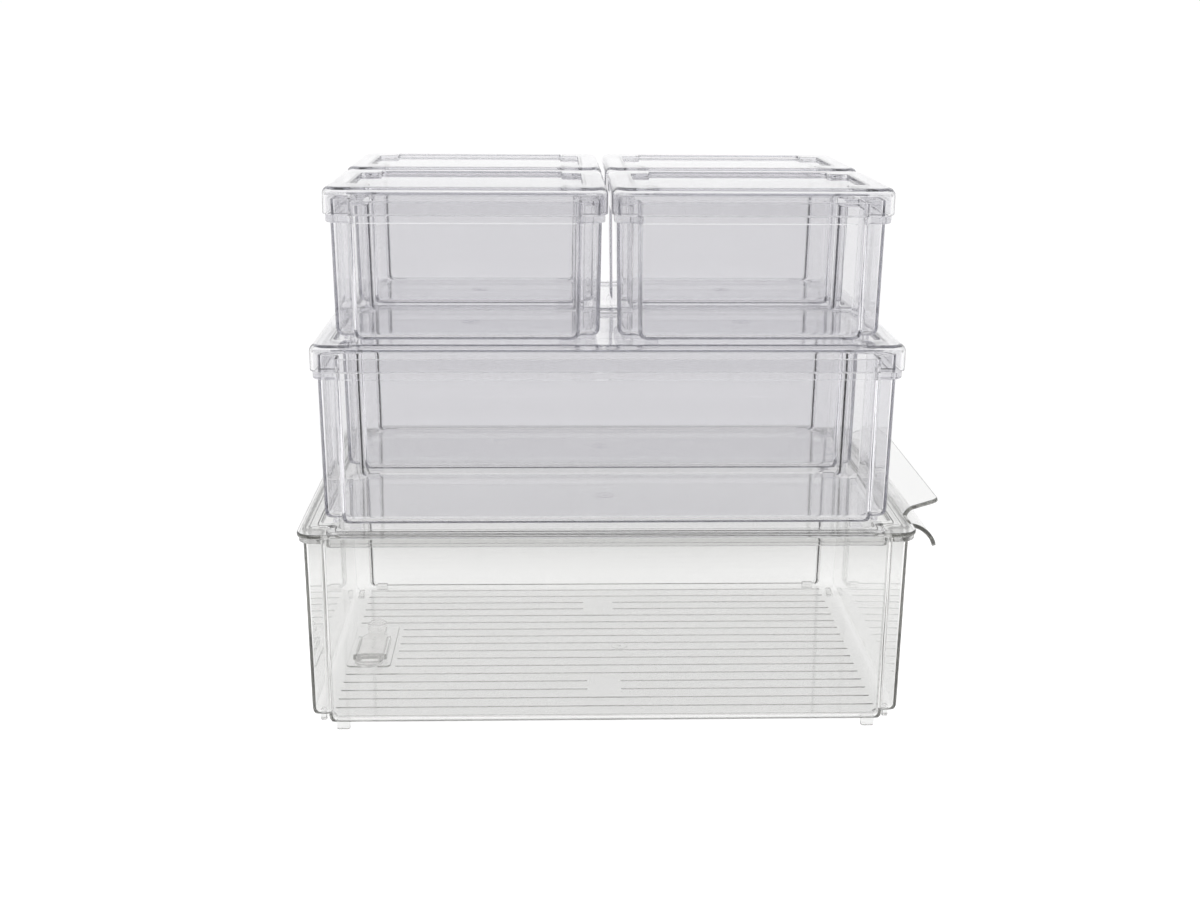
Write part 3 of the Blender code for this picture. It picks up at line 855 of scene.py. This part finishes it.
set_x = middle("medium_lid_front").x
large_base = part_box("large_bin")[0].z + LARGE_FOOT_HEIGHT
large_top = large_base + LARGE_HEIGHT
place_piece(
    "large_bin_shell", large_bin_mesh(), (set_x, 0.0, large_base), WARM, "large_bin", "large_bin",
)
place_piece(
    "large_lid_panel", large_lid_mesh(), (set_x, 0.0, large_top), WARM_LID, "large_lid", "large_lid",
)
slide_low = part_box("drain_slide")[0]
place_piece(
    "drain_slide_plate", drain_slide_mesh(), (set_x + DRAIN_X, 0.0, slide_low.z), MILKY,
    "drain_slide", "drain_slide",
)
seal_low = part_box("drain_seal")[0]
place_piece(
    "drain_seal_ring", drain_seal_mesh(), (set_x + DRAIN_X, SLOT_Y, seal_low.z - GAP), SEAL,
    "large_bin", "drain_seal",
)

for kind, size, border, columns in (
    ("medium", MEDIUM_SIZE, MEDIUM_BORDER, ("",)),
    ("small", SMALL_SIZE, SMALL_BORDER, ("_left", "_right")),
):
    bin_mesh = lidded_bin_mesh(kind + "_bin", size)
    lid_mesh = skirted_lid_mesh(kind + "_lid", size, border)
    for row in ("front", "back"):
        for column in columns:
            ending = "_" + row + column
            lid_node = kind + "_lid" + ending
            bin_node = kind + "_bin" + ending
            spot = middle(lid_node)
            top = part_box(lid_node)[1].z
            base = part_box(bin_node)[0].z + STACK_FOOT_HEIGHT
            place_piece(
                bin_node + "_shell", bin_mesh.copy(), (spot.x, spot.y, base), COOL, bin_node, bin_node,
            )
            place_piece(
                lid_node + "_cover", lid_mesh.copy(), (spot.x, spot.y, top), COOL, lid_node, lid_node,
            )


# Stage, light and camera


ROOM = 0.38  # brightness of the room beside and in front of the set
STUDIO = 0.64  # what the lit backdrop and the soft light overhead add to it
PAINTED_GLOW_UNDER_SET = 0.92  # painted light: glow from within the floor under the set, a pool of light that hides the set's shadow
PAINTED_GLOW_BEHIND = 0.53  # the same painted glow, weaker, behind the set
TABLE_FRONT = (-0.46, -0.31)  # in front of the set the glow stops and the floor's colour turns darker: painted shade
TABLE_BACK = (0.30, 0.12)
# floor colours: darker where the floor doesn't glow (painted shade), paler where it glows
PAINTED_SHADE_FLOOR, LIT_FLOOR = (0.26, 0.26, 0.26), (0.5, 0.5, 0.5)

LENS = 47.31
CAMERA_X, CAMERA_Y, CAMERA_Z = -0.03254, -0.93863, 0.39230  # from the underside of the bins' middle
YAW, PITCH, ROLL = math.radians(1.91), math.radians(-15.61), math.radians(0.40)


def smooth_share(tree, value, zero_at, one_at):
    """0 at one value and 1 at the other, with a smooth change between them."""
    share = node_of(tree, "ShaderNodeMapRange", From_Min=zero_at, From_Max=one_at)
    share.interpolation_type = "SMOOTHSTEP"
    tree.links.new(value, share.inputs["Value"])
    return share.outputs["Result"]


def reckoned(tree, operation, first, second):
    node = tree.nodes.new("ShaderNodeMath")
    node.operation = operation
    for socket, value in zip(node.inputs, (first, second)):
        if isinstance(value, float):
            socket.default_value = value
        else:
            tree.links.new(value, socket)
    return node.outputs["Value"]


def vector_math(tree, operation, first, second=None):
    node = tree.nodes.new("ShaderNodeVectorMath")
    node.operation = operation
    tree.links.new(first, node.inputs[0])
    if second:
        node.inputs[1].default_value = second
    return node.outputs["Value" if operation == "DOT_PRODUCT" else "Vector"]


def share_behind(tree, flat):
    """1 behind the set, and 0 beside it and in front of it."""
    along = vector_math(tree, "NORMALIZE", flat)
    towards_back = vector_math(tree, "DOT_PRODUCT", along, (0.0, 1.0, 0.0))
    return smooth_share(tree, towards_back, 0.42, 0.77)


def floor_material():
    """A pale floor with painted light: it glows under the set, brightest there to hide the set's shadow,
    and less behind it. In front of it the glow stops and its colour is painted darker, as painted shade.
    """
    made = bpy.data.materials.new("pale_floor")
    made.use_nodes = True
    made.cycles.emission_sampling = "NONE"
    tree = made.node_tree
    shader = tree.nodes["Principled BSDF"]
    shader.inputs["Roughness"].default_value = 0.6
    shader.inputs["Specular IOR Level"].default_value = 0.2
    shader.inputs["Emission Color"].default_value = (1.0, 1.0, 1.0, 1.0)
    place = tree.nodes.new("ShaderNodeTexCoord").outputs["Object"]
    depth = vector_math(tree, "DOT_PRODUCT", place, (0.0, 1.0, 0.0))
    lit = smooth_share(tree, depth, *TABLE_FRONT)
    # painted light: the extra glow under the set, over that behind it, fills in the set's shadow
    extra = reckoned(tree, "MULTIPLY", smooth_share(tree, depth, *TABLE_BACK), PAINTED_GLOW_UNDER_SET - PAINTED_GLOW_BEHIND)
    glow = reckoned(tree, "ADD", extra, PAINTED_GLOW_BEHIND)
    strength = reckoned(tree, "MULTIPLY", lit, glow)
    # painted shade: the floor's colour is darker in front of the set
    tree.links.new(between(tree, lit, PAINTED_SHADE_FLOOR, LIT_FLOOR), shader.inputs["Base Color"])
    tree.links.new(strength, shader.inputs["Emission Strength"])
    return made


def studio_world():
    """A lit backdrop behind the set and a soft light overhead, in a dimmer room."""
    world = bpy.data.worlds.new("studio")
    world.use_nodes = True
    tree = world.node_tree
    where = tree.nodes.new("ShaderNodeTexCoord").outputs["Generated"]
    height = vector_math(tree, "DOT_PRODUCT", where, (0.0, 0.0, 1.0))
    overhead = smooth_share(tree, height, 0.22, 0.50)
    backdrop = share_behind(tree, vector_math(tree, "MULTIPLY", where, (1.0, 1.0, 0.0)))
    lit = reckoned(tree, "MAXIMUM", overhead, backdrop)
    total = reckoned(tree, "ADD", reckoned(tree, "MULTIPLY", lit, STUDIO), ROOM)
    tree.links.new(total, tree.nodes["Background"].inputs["Strength"])
    tree.nodes["Background"].inputs["Color"].default_value = (1.0, 1.0, 1.0, 1.0)
    return world


floor_mesh = bpy.data.meshes.new("floor")
reach = 30.0
floor_corners = [(-reach, -reach, 0), (reach, -reach, 0), (reach, reach, 0), (-reach, reach, 0)]
floor_mesh.from_pydata(floor_corners, [], [(0, 1, 2, 3)])
floor = bpy.data.objects.new("floor", floor_mesh)
floor.location.z = -0.2 * MM
bpy.context.scene.collection.objects.link(floor)
floor_mesh.materials.append(floor_material())
bpy.context.scene.world = studio_world()

scene = bpy.context.scene
scene.view_settings.view_transform = "Standard"
scene.cycles.max_bounces = 64
scene.cycles.transmission_bounces = 64
scene.cycles.glossy_bounces = 64
scene.cycles.diffuse_bounces = 4

camera_data = bpy.data.cameras.new("camera")
camera_data.sensor_width = 36.0
camera_data.lens = LENS
camera = bpy.data.objects.new("camera", camera_data)
scene.collection.objects.link(camera)
scene.camera = camera
forward = Vector((math.sin(YAW) * math.cos(PITCH), math.cos(YAW) * math.cos(PITCH), math.sin(PITCH)))
level_right = Vector((math.cos(YAW), -math.sin(YAW), 0.0))
level_up = level_right.cross(forward)
right = level_right * math.cos(ROLL) + level_up * math.sin(ROLL)
up = level_up * math.cos(ROLL) - level_right * math.sin(ROLL)
turned = Matrix((right, up, -forward)).transposed().to_4x4()
camera.matrix_world = Matrix.Translation((set_x + CAMERA_X, CAMERA_Y, large_base + CAMERA_Z)) @ turned
